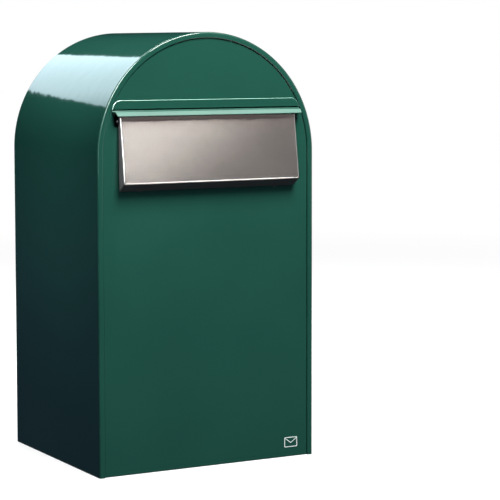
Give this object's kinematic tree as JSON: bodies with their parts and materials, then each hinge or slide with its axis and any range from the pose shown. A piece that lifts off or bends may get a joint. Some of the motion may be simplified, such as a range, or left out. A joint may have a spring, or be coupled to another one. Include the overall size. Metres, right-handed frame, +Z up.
{
  "type": "parcel drop box",
  "caption": "Free-standing arched sheet-steel mail and parcel box with a hooded, top-hinged letter flap in front and a lockable drop-down door behind.",
  "frame": {"origin": "centre of the floor plate's underside, at the level the box stands on", "axes": "+Z up, -Y towards the letter flap (front), +Y towards the door (rear), +X to the right when facing the front"},
  "size_m": [0.385, 0.3665, 0.695],
  "materials": {
    "green_paint": "glossy moss-green powder coat",
    "stainless": "brushed along the flap's width",
    "zinc": "zinc plated",
    "chrome": "polished chrome",
    "rubber": "matt",
    "nylon": "moulded, satin"
  },
  "bodies": {
    "cabinet": {"shell": "green_paint", "front_panel": "green_paint", "rain_hood": "green_paint", "rear_panel": "green_paint", "jamb_left": "green_paint", "jamb_right": "green_paint", "lintel": "green_paint", "floor_plate": "green_paint", "guard_plate": "green_paint", "guard_nut_1": "zinc", "guard_nut_2": "zinc", "guard_nut_3": "zinc", "guard_nut_4": "zinc", "flap_bracket_left": "zinc", "flap_bracket_right": "zinc", "flap_bumper_left": "rubber", "flap_bumper_right": "rubber", "hinge_bracket_left": "zinc", "hinge_bracket_right": "zinc", "hinge_pin_left": "zinc", "hinge_pin_right": "zinc"},
    "flap": {"flap": "stainless", "flap_rod": "zinc", "rod_cap_left": "nylon", "rod_cap_right": "nylon"},
    "door": {"door": "green_paint", "door_stiffener": "green_paint", "door_bush_left": "nylon", "door_bush_right": "nylon", "lock_rosette": "chrome", "lock_body": "chrome", "lock_nut": "zinc"},
    "lock_cylinder": {"lock_plug": "chrome", "lock_cam": "zinc", "cam_washer": "zinc", "cam_screw": "zinc"}
  },
  "joints": [
    {"name": "flap_hinge", "type": "hinge", "parent": "cabinet", "child": "flap", "pos_m": [0, -0.1705, 0.556], "axis": [-1, 0, 0], "range_deg": [0, 75]},
    {"name": "door_hinge", "type": "hinge", "parent": "cabinet", "child": "door", "pos_m": [0, 0.1615, 0.0155], "axis": [-1, 0, 0], "range_deg": [0, 90]},
    {"name": "lock_turn", "type": "hinge", "parent": "door", "child": "lock_cylinder", "pos_m": [0, 0.1675, 0.382], "axis": [0, -1, 0], "range_deg": [0, 90]}
  ]
}
